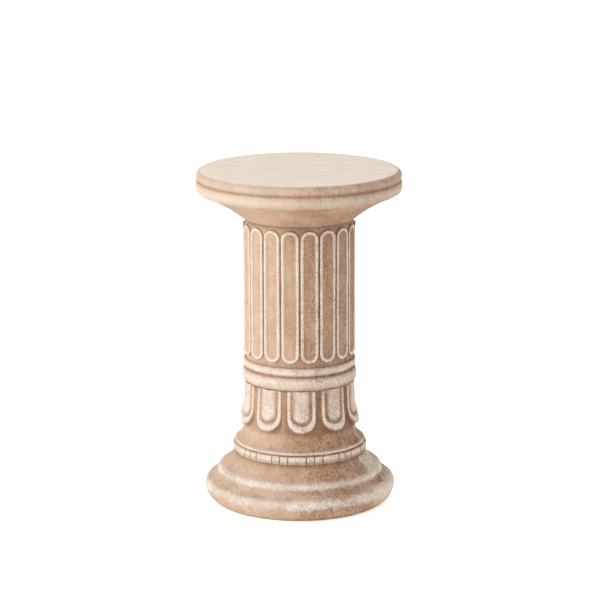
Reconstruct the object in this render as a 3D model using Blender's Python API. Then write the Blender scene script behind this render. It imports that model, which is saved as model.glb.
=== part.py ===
"""Pedestal column of cast stone: a fluted round shaft between a broad round cap and a stepped base.

The column stands on the floor with its axis on Z and its front towards -Y. It is one cast, so all
of it is one closed solid. Its mouldings are turned about the axis, and three rings of carving are
worked into them: flutes on the shaft, tongues on the collar, and beads and reels above the base.
Lengths are in metres. Heights are stacked from the floor upwards, so a moulding that grows lifts
what stands on it.
"""

import math

import bmesh
import bpy
from mathutils import Vector

# Sides of a turned moulding, and steps along a deep curve, a half round and a shallow curve
SIDES = 60
DEEP_CURVE_STEPS = 4
CURVE_STEPS = 3
SHALLOW_CURVE_STEPS = 2
TONGUE_SIDE_STEPS = 3
TONGUE_END_STEPS = 8
FLUTE_END_STEPS = 6

# Base: a thick roll on the floor
BASE_RADIUS = 0.1428
BASE_ROLL_CROWN = 0.0220
BASE_ROLL_HEIGHT = 0.0326
BASE_ROLL_UNDERCUT = 0.0143
BASE_ROLL_FOOT_BULGE = 0.0030
BASE_ROLL_SETBACK = 0.0053
BASE_ROLL_BULGE = 0.0013

# Base: a cove, a rounded shoulder and a sloping cavetto above the roll
COVE_HEIGHT = 0.0096
COVE_HOLLOW = 0.0020
SHOULDER_RADIUS = 0.1239
SHOULDER_HEIGHT = 0.0108
SHOULDER_SETBACK = 0.0053
SHOULDER_BULGE = 0.0016
CAVETTO_HEIGHT = 0.0210
CAVETTO_HOLLOW = 0.0028

# Band of beads and reels, in units of one long bead and two short ones
BAND_RADIUS = 0.1002
BAND_PROJECTION = 0.0025
BAND_HEIGHT = 0.0136
BAND_STEP_HEIGHT = 0.0010
BEAD_UNIT_COUNT = 12
SHORT_BEAD_LENGTH = 0.0112
BEAD_NOTCH_WIDTH = 0.0017
BEAD_START_ANGLE = math.radians(-9.8)

# Thin fillet above the band, and the flare that runs up from it to the collar
FILLET_RADIUS = 0.0976
FILLET_HEIGHT = 0.0034
FILLET_SETBACK = 0.0016
FILLET_BULGE = 0.0010
FILLET_GROOVE_HEIGHT = 0.0006
FLARE_HEIGHT = 0.0139
FLARE_HOLLOW = 0.0012

# Collar of tongues, a cone that widens downwards from the shaft
COLLAR_HEIGHT = 0.0761
COLLAR_SPREAD = 0.0040
TONGUE_COUNT = 10
TONGUE_TURN = math.radians(1.3)
TONGUE_GAP = 0.0070
TONGUE_LIFT = 0.0160
TONGUE_END_LENGTH = 0.0240
TONGUE_RIM_RELIEF = 0.0014
TONGUE_FLARE = 0.0123
TONGUE_FLARE_LENGTH = 0.0450
TONGUE_CREST_INSET = 0.0040
TONGUE_GROOVE_INSET = 0.0078
TONGUE_GROOVE_DEPTH = 0.0017
TONGUE_DOME_INSET = 0.0098
TONGUE_DOME_SINK = 0.0004
TONGUE_DOME_BULGE = 0.0013

# Two rounded rings between the collar and the shaft
RING_LEDGE_HEIGHT = 0.0004
RING_SEAT_PROJECTION = 0.0011
LOWER_RING_PROJECTION = 0.0036
LOWER_RING_HEIGHT = 0.0205
RING_GROOVE_HEIGHT = 0.0018
UPPER_RING_PROJECTION = 0.0027
UPPER_RING_HEIGHT = 0.0127

# Shaft, whose flutes are long plates with round ends, a raised rim and a sunk panel
SHAFT_RADIUS = 0.0802
SHAFT_HEIGHT = 0.2090
FLUTE_COUNT = 18
FLUTE_GAP = 0.0022
FLUTE_FOOT_MARGIN = 0.0068
FLUTE_HEAD_MARGIN = 0.0043
FLUTE_SHOULDER_INSET = 0.0008
FLUTE_SHOULDER_RELIEF = 0.0024
FLUTE_CREST_INSET = 0.0032
FLUTE_CREST_RELIEF = 0.0033
FLUTE_PANEL_INSET = 0.0058
FLUTE_PANEL_RELIEF = 0.0016

# Bell under the cap
BELL_STEP = 0.0008
BELL_HEIGHT = 0.0385
BELL_HOLLOW = 0.0028

# Cap: a thick roll under a slimmer one that ends at the flat top
CAP_RADIUS = 0.1520
CAP_ROLL_DEPTH = 0.0085
CAP_ROLL_CROWN = 0.0108
CAP_ROLL_HEIGHT = 0.0200
CAP_ROLL_SHOULDER = 0.0134
CAP_EDGE_HEIGHT = 0.0145
CAP_EDGE_BULGE = 0.0024
TOP_EDGE_SETBACK = 0.0052

# Heights of the joints between the mouldings, stacked from the floor
SHOULDER_Z = BASE_ROLL_HEIGHT + COVE_HEIGHT
CAVETTO_Z = SHOULDER_Z + SHOULDER_HEIGHT
BAND_Z = CAVETTO_Z + CAVETTO_HEIGHT + BAND_STEP_HEIGHT
FILLET_Z = BAND_Z + BAND_HEIGHT + FILLET_GROOVE_HEIGHT
FLARE_Z = FILLET_Z + FILLET_HEIGHT
COLLAR_Z = FLARE_Z + FLARE_HEIGHT
COLLAR_TOP_Z = COLLAR_Z + COLLAR_HEIGHT
LOWER_RING_Z = COLLAR_TOP_Z + RING_LEDGE_HEIGHT
UPPER_RING_Z = LOWER_RING_Z + LOWER_RING_HEIGHT + RING_GROOVE_HEIGHT
SHAFT_Z = UPPER_RING_Z + UPPER_RING_HEIGHT
BELL_Z = SHAFT_Z + SHAFT_HEIGHT
CAP_Z = BELL_Z + BELL_HEIGHT
CAP_EDGE_Z = CAP_Z + CAP_ROLL_HEIGHT
TOP_Z = CAP_EDGE_Z + CAP_EDGE_HEIGHT

# Finish of the cast
STONE_COLOUR = (0.60, 0.42, 0.30, 1.0)
STONE_ROUGHNESS = 0.85
SHARP_ANGLE = math.radians(40)

FULL_TURN = 2 * math.pi
WELD_LENGTH = 0.000001
ANGLE_MATCH = 0.0001


class Casting:
    """The growing mesh, which uses a vertex again where one is already in its place."""

    def __init__(self):
        self.mesh = bmesh.new()
        self.known = {}

    def vert(self, angle, radius, height):
        """Return the vertex at an angle from the front, a distance from the axis and a height."""
        place = Vector((radius * math.sin(angle), -radius * math.cos(angle), height))
        key = tuple(round(value / WELD_LENGTH) for value in place)
        if key not in self.known:
            self.known[key] = self.mesh.verts.new(place)
        return self.known[key]

    def line(self, turn, flat, radius_at):
        """Wrap a flat line of (across, height) points round the shaft, centred on an angle."""
        return [self.vert(turn + across / SHAFT_RADIUS, radius_at(z), z) for across, z in flat]

    def face(self, *corners):
        """Add a face, without the corners that fall together."""
        distinct = list(dict.fromkeys(corners))
        if len(distinct) > 2:
            self.mesh.faces.new(distinct)

    def strip(self, outer, inner):
        """Fill the strip between two lines of as many vertices, followed with the inner to the left."""
        for i in range(len(outer) - 1):
            self.face(outer[i], outer[i + 1], inner[i + 1], inner[i])

    def stitch(self, lower, upper):
        """Join two closed rings, of any counts, by a band of quads and triangles."""
        lower = sorted(lower, key=angle_of)
        upper = sorted(upper, key=angle_of)
        low_angles = [angle_of(vert) for vert in lower[1:]] + [FULL_TURN + angle_of(lower[0])]
        high_angles = [angle_of(vert) for vert in upper[1:]] + [FULL_TURN + angle_of(upper[0])]
        lower.append(lower[0])
        upper.append(upper[0])
        i = 0
        j = 0
        while i < len(low_angles) or j < len(high_angles):
            low_next = low_angles[i] if i < len(low_angles) else math.inf
            high_next = high_angles[j] if j < len(high_angles) else math.inf
            if abs(low_next - high_next) < ANGLE_MATCH:
                self.face(lower[i], lower[i + 1], upper[j + 1], upper[j])
                i += 1
                j += 1
            elif low_next < high_next:
                self.face(lower[i], lower[i + 1], upper[j])
                i += 1
            else:
                self.face(lower[i], upper[j + 1], upper[j])
                j += 1


def angle_of(vert):
    """Return a vertex's angle from the front, from nought up to a full turn."""
    return (math.atan2(vert.co.x, -vert.co.y) + ANGLE_MATCH) % FULL_TURN


def bow(start, end, bulge, steps):
    """Return a shallow curve's points after its start; a negative bulge makes it hollow."""
    start = Vector(start)
    end = Vector(end)
    chord = end - start
    outward = Vector((chord.y, -chord.x)).normalized()
    points = []
    for step in range(1, steps + 1):
        share = step / steps
        points.append(start + chord * share + outward * (bulge * 4 * share * (1 - share)))
    return points


def round_off(centre, radii, start, end, steps):
    """Return an elliptical arc's points after its start, between two angles in degrees."""
    points = []
    for step in range(1, steps + 1):
        angle = math.radians(start + (end - start) * step / steps)
        reach = Vector((radii[0] * math.cos(angle), radii[1] * math.sin(angle)))
        points.append(Vector(centre) + reach)
    return points


def base_profile():
    """Return the base's profile, from the edge of its flat underside up to the band of beads."""
    points = [Vector((BASE_RADIUS - BASE_ROLL_UNDERCUT, 0))]
    points += bow(points[-1], (BASE_RADIUS, BASE_ROLL_CROWN), BASE_ROLL_FOOT_BULGE, DEEP_CURVE_STEPS)
    roll_end = (BASE_RADIUS - BASE_ROLL_SETBACK, BASE_ROLL_HEIGHT)
    points += bow(points[-1], roll_end, BASE_ROLL_BULGE, SHALLOW_CURVE_STEPS)
    points += bow(points[-1], (SHOULDER_RADIUS, SHOULDER_Z), -COVE_HOLLOW, SHALLOW_CURVE_STEPS)
    shoulder_end = (SHOULDER_RADIUS - SHOULDER_SETBACK, CAVETTO_Z)
    points += bow(points[-1], shoulder_end, SHOULDER_BULGE, SHALLOW_CURVE_STEPS)
    cavetto_end = (BAND_RADIUS - BAND_PROJECTION, CAVETTO_Z + CAVETTO_HEIGHT)
    points += bow(points[-1], cavetto_end, -CAVETTO_HOLLOW, CURVE_STEPS)
    return points


def flare_profile():
    """Return the fillet's profile and the flare's, up to the foot of the collar."""
    points = [Vector((FILLET_RADIUS, FILLET_Z))]
    points += bow(points[-1], (FILLET_RADIUS - FILLET_SETBACK, FLARE_Z), FILLET_BULGE, SHALLOW_CURVE_STEPS)
    points += bow(points[-1], (collar_radius(COLLAR_Z), COLLAR_Z), -FLARE_HOLLOW, SHALLOW_CURVE_STEPS)
    return points


def rings_profile():
    """Return the profile of the two rounded rings, up to the foot of the shaft."""
    seat = SHAFT_RADIUS + RING_SEAT_PROJECTION
    points = []
    for foot_z, projection, height in (
        (LOWER_RING_Z, LOWER_RING_PROJECTION, LOWER_RING_HEIGHT),
        (UPPER_RING_Z, UPPER_RING_PROJECTION, UPPER_RING_HEIGHT),
    ):
        points.append(Vector((seat, foot_z)))
        centre = (seat, foot_z + height / 2)
        points += round_off(centre, (projection, height / 2), -90, 90, DEEP_CURVE_STEPS)
    return points


def cap_profile():
    """Return the profile of the bell and the cap, up to the edge of the flat top."""
    roll_centre = (CAP_RADIUS - CAP_ROLL_DEPTH, CAP_Z + CAP_ROLL_CROWN)
    edge_angle = math.degrees(math.asin((CAP_ROLL_HEIGHT - CAP_ROLL_CROWN) / CAP_ROLL_SHOULDER))
    points = [Vector((SHAFT_RADIUS + BELL_STEP, BELL_Z))]
    points += bow(points[-1], (roll_centre[0], CAP_Z), -BELL_HOLLOW, DEEP_CURVE_STEPS)
    points += round_off(roll_centre, (CAP_ROLL_DEPTH, CAP_ROLL_CROWN), -90, 0, CURVE_STEPS)
    shoulder_radii = (CAP_ROLL_DEPTH, CAP_ROLL_SHOULDER)
    points += round_off(roll_centre, shoulder_radii, 0, edge_angle, SHALLOW_CURVE_STEPS)
    points += bow(points[-1], (CAP_RADIUS - TOP_EDGE_SETBACK, TOP_Z), CAP_EDGE_BULGE, CURVE_STEPS)
    return points


def turned(casting, profile):
    """Turn a profile about the axis, and return its lowest and its highest ring."""
    rings = []
    for radius, height in profile:
        rings.append([casting.vert(FULL_TURN * side / SIDES, radius, height) for side in range(SIDES)])
    for lower, upper in zip(rings, rings[1:]):
        casting.stitch(lower, upper)
    return rings[0], rings[-1]


def bead_band(casting):
    """Model the band of beads and reels, and return its lowest and its highest ring."""
    groove_radius = BAND_RADIUS - BAND_PROJECTION
    unit = FULL_TURN / BEAD_UNIT_COUNT
    notch = BEAD_NOTCH_WIDTH / BAND_RADIUS
    short = SHORT_BEAD_LENGTH / BAND_RADIUS
    long = unit - 2 * short - 3 * notch
    lines = [[] for _ in range(CURVE_STEPS + 1)]
    for index in range(BEAD_UNIT_COUNT):
        start = BEAD_START_ANGLE + unit * index
        for length in (long, short, short):
            stations = ((start, True), (start + length, True), (start + length + notch / 2, False))
            for angle, raised in stations:
                for step in range(CURVE_STEPS + 1):
                    rise = math.sin(math.pi * step / CURVE_STEPS) if raised else 0
                    radius = groove_radius + BAND_PROJECTION * rise
                    height = BAND_Z + BAND_HEIGHT * step / CURVE_STEPS
                    lines[step].append(casting.vert(angle, radius, height))
            start += length + notch
    for lower, upper in zip(lines, lines[1:]):
        casting.strip(lower + lower[:1], upper + upper[:1])
    return lines[0], lines[-1]


def collar_radius(height):
    """Return the radius of the collar's plain ground at a height."""
    share = (COLLAR_TOP_Z - height) / COLLAR_HEIGHT
    return SHAFT_RADIUS + COLLAR_SPREAD * share


def tongue_radius(height):
    """Return the radius of a tongue's rim, which curls outwards towards its tip."""
    tip = COLLAR_Z + TONGUE_LIFT
    curl = max(0, (tip + TONGUE_FLARE_LENGTH - height) / TONGUE_FLARE_LENGTH)
    return SHAFT_RADIUS + TONGUE_RIM_RELIEF + TONGUE_FLARE * curl ** 2


def tongue_outline(half_width, end_length, centre_z):
    """Return a tongue's outline as flat points, down its left side, round its tip and up again."""
    side_length = COLLAR_TOP_Z - centre_z
    sides = [COLLAR_TOP_Z - side_length * step / TONGUE_SIDE_STEPS for step in range(TONGUE_SIDE_STEPS)]
    tip = []
    for step in range(TONGUE_END_STEPS + 1):
        angle = math.pi * (1 + step / TONGUE_END_STEPS)
        tip.append((half_width * math.cos(angle), centre_z + end_length * math.sin(angle)))
    left = [(-half_width, height) for height in sides]
    right = [(half_width, height) for height in reversed(sides)]
    return left + tip + right


def tongue_border(half_pitch, centre_z):
    """Return the edge of a tongue's share of the collar, point for point with its outline."""
    outline = tongue_outline(half_pitch, TONGUE_END_LENGTH / 2, centre_z)
    middle = len(outline) // 2
    for offset in (-2, -1, 0, 1, 2):
        outline[middle + offset] = (half_pitch * offset / 2, COLLAR_Z)
    for side in (-1, 1):
        outline[middle + 3 * side] = (half_pitch * side, centre_z - TONGUE_END_LENGTH / 2)
    return outline


def tongue_collar(casting):
    """Model the collar with its tongues, and return its lowest and its highest ring."""
    pitch = FULL_TURN / TONGUE_COUNT
    half_pitch = SHAFT_RADIUS * pitch / 2
    half_width = half_pitch - TONGUE_GAP / 2
    centre_z = COLLAR_Z + TONGUE_LIFT + TONGUE_END_LENGTH
    levels = (
        (TONGUE_CREST_INSET, 0),
        (TONGUE_GROOVE_INSET, -TONGUE_GROOVE_DEPTH),
        (TONGUE_DOME_INSET, -TONGUE_DOME_SINK),
    )
    border = tongue_border(half_pitch, centre_z)
    foot = tongue_outline(half_width, TONGUE_END_LENGTH, centre_z)
    middle = len(foot) // 2
    spine = [(0, height) for across, height in foot[:middle]]
    lowest = []
    highest = []
    for index in range(TONGUE_COUNT):
        turn = TONGUE_TURN + pitch * index
        lines = [casting.line(turn, flat, collar_radius) for flat in (border, foot)]
        for inset, relief in levels:
            flat = tongue_outline(half_width - inset, TONGUE_END_LENGTH - inset, centre_z)
            lines.append(casting.line(turn, flat, lambda z, relief=relief: tongue_radius(z) + relief))
        ridge = casting.line(turn, spine, lambda z: tongue_radius(z) + TONGUE_DOME_BULGE)
        ridge.append(lines[-1][middle])
        for outer, inner in zip(lines, lines[1:]):
            casting.strip(outer, inner)
        casting.strip(lines[-1][:middle + 1], ridge)
        casting.strip(lines[-1][middle:], ridge[::-1])
        lowest += lines[0][middle - 2:middle + 3]
        highest += [line[0] for line in lines] + [ridge[0]] + [line[-1] for line in lines]
    return list(dict.fromkeys(lowest)), list(dict.fromkeys(highest))


def flute_outline(half_width, foot_z, head_z):
    """Return a flute's outline as flat points: a foot end and a head end, each half a circle."""
    points = []
    for centre_z, start in ((foot_z, math.pi), (head_z, 0)):
        for step in range(FLUTE_END_STEPS + 1):
            angle = start + math.pi * step / FLUTE_END_STEPS
            points.append((half_width * math.cos(angle), centre_z + half_width * math.sin(angle)))
    return points


def flute_border(half_pitch, foot_z, head_z):
    """Return the edge of a flute's share of the shaft, point for point with its outline."""
    low = [(half_pitch * step / 2, SHAFT_Z) for step in (-2, -1, 0, 1, 2)]
    high = [(half_pitch * step / 2, BELL_Z) for step in (2, 1, 0, -1, -2)]
    foot = [(-half_pitch, foot_z)] + low + [(half_pitch, foot_z)]
    head = [(half_pitch, head_z)] + high + [(-half_pitch, head_z)]
    return foot + head


def fluted_shaft(casting):
    """Model the shaft with its flutes, and return its lowest and its highest ring."""
    pitch = FULL_TURN / FLUTE_COUNT
    half_pitch = SHAFT_RADIUS * pitch / 2
    half_width = half_pitch - FLUTE_GAP / 2
    foot_z = SHAFT_Z + FLUTE_FOOT_MARGIN + half_width
    head_z = BELL_Z - FLUTE_HEAD_MARGIN - half_width
    levels = (
        (0, 0),
        (FLUTE_SHOULDER_INSET, FLUTE_SHOULDER_RELIEF),
        (FLUTE_CREST_INSET, FLUTE_CREST_RELIEF),
        (FLUTE_PANEL_INSET, FLUTE_PANEL_RELIEF),
    )
    border = flute_border(half_pitch, foot_z, head_z)
    end_count = len(border) // 2
    lowest = []
    highest = []
    for index in range(FLUTE_COUNT):
        turn = pitch * (index + 0.5)
        lines = [casting.line(turn, border, lambda z: SHAFT_RADIUS)]
        for inset, relief in levels:
            flat = flute_outline(half_width - inset, foot_z, head_z)
            lines.append(casting.line(turn, flat, lambda z, relief=relief: SHAFT_RADIUS + relief))
        for outer, inner in zip(lines, lines[1:]):
            casting.strip(outer + outer[:1], inner + inner[:1])
        right_side = lines[-1][end_count // 2:end_count // 2 + end_count + 1]
        left_side = lines[-1][end_count // 2::-1] + lines[-1][:end_count // 2 + end_count - 1:-1]
        casting.strip(right_side, left_side)
        lowest += lines[0][1:end_count - 1]
        highest += lines[0][end_count + 1:-1]
    return list(dict.fromkeys(lowest)), list(dict.fromkeys(highest))


def stone_material():
    """Return the cast's plain beige stone."""
    material = bpy.data.materials.new("cast_stone")
    material.use_nodes = True
    shader = material.node_tree.nodes["Principled BSDF"]
    shader.inputs["Base Color"].default_value = STONE_COLOUR
    shader.inputs["Roughness"].default_value = STONE_ROUGHNESS
    shader.inputs["Metallic"].default_value = 0.0
    return material


def pedestal_column():
    """Model the whole column as one closed solid."""
    casting = Casting()
    sections = [
        turned(casting, base_profile()),
        bead_band(casting),
        turned(casting, flare_profile()[:-1]),
        tongue_collar(casting),
        turned(casting, rings_profile()),
        fluted_shaft(casting),
        turned(casting, cap_profile()),
    ]
    for lower, upper in zip(sections, sections[1:]):
        casting.stitch(lower[1], upper[0])
    casting.face(*reversed(sections[0][0]))
    casting.face(*sections[-1][1])
    bmesh.ops.recalc_face_normals(casting.mesh, faces=casting.mesh.faces)
    mesh = bpy.data.meshes.new("pedestal_column")
    casting.mesh.to_mesh(mesh)
    casting.mesh.free()
    mesh.shade_smooth()
    mesh.set_sharp_from_angle(angle=SHARP_ANGLE)
    mesh.materials.append(stone_material())
    column = bpy.data.objects.new("pedestal_column", mesh)
    bpy.context.scene.collection.objects.link(column)
    return column


for leftover in list(bpy.data.objects):
    bpy.data.objects.remove(leftover)
pedestal_column()
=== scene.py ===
"""Dressed pedestal column: the carved relief, the hand-cast surface and the rubbed stone finish.

The cast is modelled in flat tiles at the front of the column, and the tiles are wrapped round its axis
between the turned mouldings. Lengths are in metres, with the axis on Z and the front towards -Y.
"""

import math

import bmesh
import bpy
import numpy as np
from mathutils import Matrix, Vector
from mathutils import noise as solid_noise


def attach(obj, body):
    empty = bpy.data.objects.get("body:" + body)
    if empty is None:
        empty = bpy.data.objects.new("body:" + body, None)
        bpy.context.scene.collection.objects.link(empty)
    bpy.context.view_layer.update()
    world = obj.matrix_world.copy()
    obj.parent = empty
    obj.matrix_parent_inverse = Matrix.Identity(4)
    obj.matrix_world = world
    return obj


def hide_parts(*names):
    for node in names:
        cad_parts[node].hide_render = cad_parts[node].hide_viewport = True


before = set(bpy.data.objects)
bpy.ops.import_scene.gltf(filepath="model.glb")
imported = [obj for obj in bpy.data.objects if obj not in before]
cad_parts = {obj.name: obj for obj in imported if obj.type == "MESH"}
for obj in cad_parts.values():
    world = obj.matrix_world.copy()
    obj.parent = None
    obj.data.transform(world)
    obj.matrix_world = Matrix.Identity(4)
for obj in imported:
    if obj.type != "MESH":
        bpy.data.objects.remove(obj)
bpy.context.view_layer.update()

# Radii and heights of the mouldings, as the solid has them
FOOT_RADIUS = 0.1285
BASE_RADIUS = 0.1428
BASE_CROWN_Z = 0.0220
BASE_ROLL_Z = 0.0326
BASE_ROLL_END = 0.1375
SHOULDER_RADIUS = 0.1239
SHOULDER_Z = 0.0422
CAVETTO_RADIUS = 0.1186
CAVETTO_Z = 0.0530
BAND_GROUND = 0.0977
BAND_PROJECTION = 0.0025
BAND_Z = 0.0750
BAND_TOP_Z = 0.0886
FILLET_RADIUS = 0.0976
FILLET_Z = 0.0892
FLARE_Z = 0.0926
COLLAR_Z = 0.1065
COLLAR_TOP_Z = 0.1826
LOWER_RING_Z = 0.1830
LOWER_RING_TOP_Z = 0.2035
UPPER_RING_Z = 0.2053
SHAFT_Z = 0.2180
BELL_Z = 0.4270
CAP_Z = 0.4655
CAP_CROWN_Z = 0.4763
CAP_EDGE_Z = 0.4855
TOP_Z = 0.5000
SHAFT_RADIUS = 0.0802
RING_SEAT = 0.0813
CAP_RADIUS = 0.1520
CAP_ROLL_DEPTH = 0.0085
CAP_SHOULDER = 0.0134

# The edge of the flat top, nearer to the axis than the solid's, because the roll under it is rounder
TOP_RADIUS = 0.1442

# Rings that the flat underside and the flat top are divided into
UNDERSIDE_RINGS = (0.03, 0.06, 0.09, 0.115)
TOP_RINGS = (0.140, 0.125, 0.095, 0.06, 0.03)

# Carved rings: the flutes, the hanging tongues on the collar and the beads
FLUTE_COUNT = 18
FLUTE_GAP = 0.0013
FLUTE_TURN = math.radians(10.6)
FLUTE_FOOT_Z = SHAFT_Z + 0.0068
FLUTE_HEAD_Z = BELL_Z - 0.0043
TONGUE_COUNT = 10
TONGUE_TURN = math.radians(2.0)
TONGUE_GAP = 0.0070
TONGUE_TIP_Z = COLLAR_Z + 0.0136
TONGUE_END_LENGTH = 0.0240
TONGUE_GROOVE_INSET = 0.0077
TONGUE_INNER_LENGTH = 0.0129
TONGUE_DOME_LIFT = 0.0028
TONGUE_CURL = 0.0123
TONGUE_CURL_LENGTH = 0.0450
TONGUE_PLATE = 0.0012
TONGUE_CREST = 0.0036
TONGUE_RIM_RELIEF = 0.0014
TONGUE_OVERRUN = 0.03
TONGUE_STEP_SHARE = 0.65
TONGUE_BLUNTNESS = 0.85
COLLAR_SPREAD = 0.0040
BEAD_UNIT_COUNT = 12
SHORT_BEAD = 0.0112
BEAD_NOTCH = 0.0012
BEAD_PLATE = 0.0013
BEAD_CORNER = 0.0016
BEAD_MARGIN = 0.0004
BEAD_START = math.radians(-9.8)

# Relief of the carved tiles: how far in from the outline, and how high above the ground
FLUTE_RELIEF = (
    (0.0002, 0.0013), (0.0006, 0.0024), (0.0012, 0.0031), (0.0021, 0.0034), (0.0031, 0.0033),
    (0.0042, 0.0029), (0.0054, 0.0023), (0.0067, 0.0017), (0.0080, 0.0013),
)
TONGUE_RELIEF = (
    (0.0003, 0.0011), (0.0009, 0.0018), (0.0019, 0.0028), (0.0032, 0.0036), (0.0045, 0.0035),
    (0.0056, 0.0027), (0.0067, 0.0017), (0.0077, 0.0012), (0.0087, 0.0016), (0.0096, 0.0026),
    (0.0109, 0.0037), (0.0127, 0.0048), (0.0150, 0.0055),
)
BEAD_RELIEF = ((0.0002, 0.0005), (0.0005, 0.0009), (0.0009, 0.0012), (0.0013, BEAD_PLATE))

# Cracks: how far out the cracked side starts, how far from a crack or a nick the faces are cut, how long
# the ends fade, how often a crack waves on its way up, and how strongly it shows beside its middle line
FRONT_SIDE = 0.05
CRACK_REACH = 0.006
NICK_REACH = 0.008
CRACK_FADE = 0.003
CRACK_WAVES = 260
CRACK_EDGE = 0.45

# Colours of the stone
GROUND_DARK = (0.365, 0.215, 0.122, 1)
GROUND_LIGHT = (0.500, 0.325, 0.202, 1)
WASHED_OUT = (0.600, 0.495, 0.408, 1)
PALE_STREAK = (0.610, 0.430, 0.300, 1)
PALE_GRAIN = (0.660, 0.480, 0.345, 1)
DARK_SPECK = (0.165, 0.085, 0.046, 1)
DARK_BLOTCH = (0.215, 0.112, 0.060, 1)
# Deep brown of the painted shade in hollows and under overhangs
PAINTED_SHADE_BROWN = (0.170, 0.080, 0.040, 1)
THIN_WHITE = (0.560, 0.470, 0.385, 1)
THICK_WHITE = (0.695, 0.632, 0.565, 1)
PIT_BROWN = (0.190, 0.108, 0.064, 1)
SEAM_WHITE = (0.750, 0.660, 0.560, 1)
CRACK_BROWN = (0.120, 0.060, 0.035, 1)
TOP_SHADE = (0.690, 0.588, 0.495, 1)
TOP_LIGHT = (0.742, 0.648, 0.558, 1)

# The view, the floor and the light
CAMERA_PLACE = (0.0011, -3.5423, 1.12907)
CAMERA_SENSOR = 36
CAMERA_LENS = 147
CAMERA_TILT = math.radians(90 - 13.142)
CAMERA_LEAN = math.radians(-0.167)
FLOOR_SIZE = 24
FLOOR_GLOW = 0.52
ROOM_BRIGHTNESS = 0.85

# Distances within which two places count as one
SAME_PLACE = 0.00001
NEAR_PLACE = 0.00002
NEAR_RADIUS = 0.0002

TURNED_STEPS = 288
FULL_TURN = 2 * math.pi
FACING_FRONT = (math.pi / 2, 0, 0)


def fresh_scene_selection():
    """Leave edit mode and select nothing."""
    if bpy.context.object and bpy.context.object.mode == "EDIT":
        bpy.ops.object.mode_set(mode="OBJECT")
    bpy.ops.object.select_all(action="DESELECT")


def select_only(piece):
    """Select one piece and make it the active one."""
    fresh_scene_selection()
    piece.select_set(True)
    bpy.context.view_layer.objects.active = piece


def into_edit(piece):
    """Open one piece for modelling, with nothing on it selected."""
    select_only(piece)
    bpy.ops.object.mode_set(mode="EDIT")
    bpy.ops.mesh.select_mode(type="VERT")
    bpy.ops.mesh.select_all(action="DESELECT")


def pick(test, among=None):
    """Select the vertices of the open piece whose place passes a test."""
    piece = bpy.context.object
    mesh = bmesh.from_edit_mesh(piece.data)
    mesh.verts.ensure_lookup_table()
    for vert in mesh.verts:
        vert.select = (among is None or vert.index in among) and test(piece.matrix_world @ vert.co)
    mesh.select_flush_mode()
    bmesh.update_edit_mesh(piece.data)


def pick_edges(test):
    """Select the edges of the open piece that pass a test."""
    bpy.ops.mesh.select_mode(type="EDGE")
    mesh = bmesh.from_edit_mesh(bpy.context.object.data)
    for edge in mesh.edges:
        edge.select = test(edge)
    bmesh.update_edit_mesh(bpy.context.object.data)


def pick_faces(test):
    """Select the faces of the open piece whose middle passes a test."""
    bpy.ops.mesh.select_mode(type="FACE")
    mesh = bmesh.from_edit_mesh(bpy.context.object.data)
    for face in mesh.faces:
        face.select = test(face.calc_center_median())
    bmesh.update_edit_mesh(bpy.context.object.data)


def picked():
    """Return the numbers of the selected vertices of the open piece."""
    mesh = bmesh.from_edit_mesh(bpy.context.object.data)
    return {vert.index for vert in mesh.verts if vert.select}


def settle(piece):
    """Close a piece and put its place into its mesh."""
    select_only(piece)
    bpy.ops.object.transform_apply(location=True, rotation=True, scale=True)


def gather(pieces, name):
    """Join pieces into one and give it a name."""
    fresh_scene_selection()
    for piece in pieces:
        piece.select_set(True)
    bpy.context.view_layer.objects.active = pieces[0]
    bpy.ops.object.join()
    joined = bpy.context.object
    joined.name = name
    joined.data.name = name
    return joined


def bow(start, end, bulge, steps):
    """Return a shallow curve's points after its start; a negative bulge makes it hollow."""
    length = math.dist(start, end)
    across = ((end[1] - start[1]) / length, -(end[0] - start[0]) / length)
    points = []
    for step in range(1, steps + 1):
        share = step / steps
        rise = bulge * 4 * share * (1 - share)
        radius = start[0] + (end[0] - start[0]) * share + across[0] * rise
        height = start[1] + (end[1] - start[1]) * share + across[1] * rise
        points.append((radius, height))
    return points


def round_off(centre, radii, start, end, steps):
    """Return an elliptical arc's points after its start, between two angles in degrees."""
    points = []
    for step in range(1, steps + 1):
        angle = math.radians(start + (end - start) * step / steps)
        points.append((centre[0] + radii[0] * math.cos(angle), centre[1] + radii[1] * math.sin(angle)))
    return points


def turned(name, profile):
    """Draw a profile point by point from one vertex, and spin it round the axis."""
    fresh_scene_selection()
    bpy.ops.mesh.primitive_plane_add(size=0.001, location=(profile[0][0], 0, profile[0][1]))
    piece = bpy.context.object
    piece.name = name
    bpy.ops.object.mode_set(mode="EDIT")
    bpy.ops.mesh.select_mode(type="VERT")
    bpy.ops.mesh.select_all(action="SELECT")
    bpy.ops.mesh.merge(type="CENTER")
    for here, there in zip(profile, profile[1:]):
        step = (there[0] - here[0], 0, there[1] - here[1])
        bpy.ops.mesh.extrude_vertices_move(TRANSFORM_OT_translate={"value": step})
    bpy.ops.mesh.select_all(action="SELECT")
    bpy.ops.mesh.spin(steps=TURNED_STEPS, angle=FULL_TURN, center=(0, 0, 0), axis=(0, 0, 1))
    bpy.ops.mesh.select_all(action="SELECT")
    bpy.ops.mesh.remove_doubles(threshold=SAME_PLACE / 2)
    settle(piece)
    return piece


def ease_ring(piece, radius, height, width):
    """Round the sharp ring that a turned piece has at a radius and a height."""

    def on_ring(vert):
        aside = math.hypot(vert.co.x, vert.co.y) - radius
        return abs(vert.co.z - height) < NEAR_PLACE and abs(aside) < NEAR_RADIUS

    into_edit(piece)
    pick_edges(lambda edge: all(on_ring(vert) for vert in edge.verts))
    bpy.ops.mesh.bevel(offset=width, segments=3, affect="EDGES", clamp_overlap=True)
    settle(piece)


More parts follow.
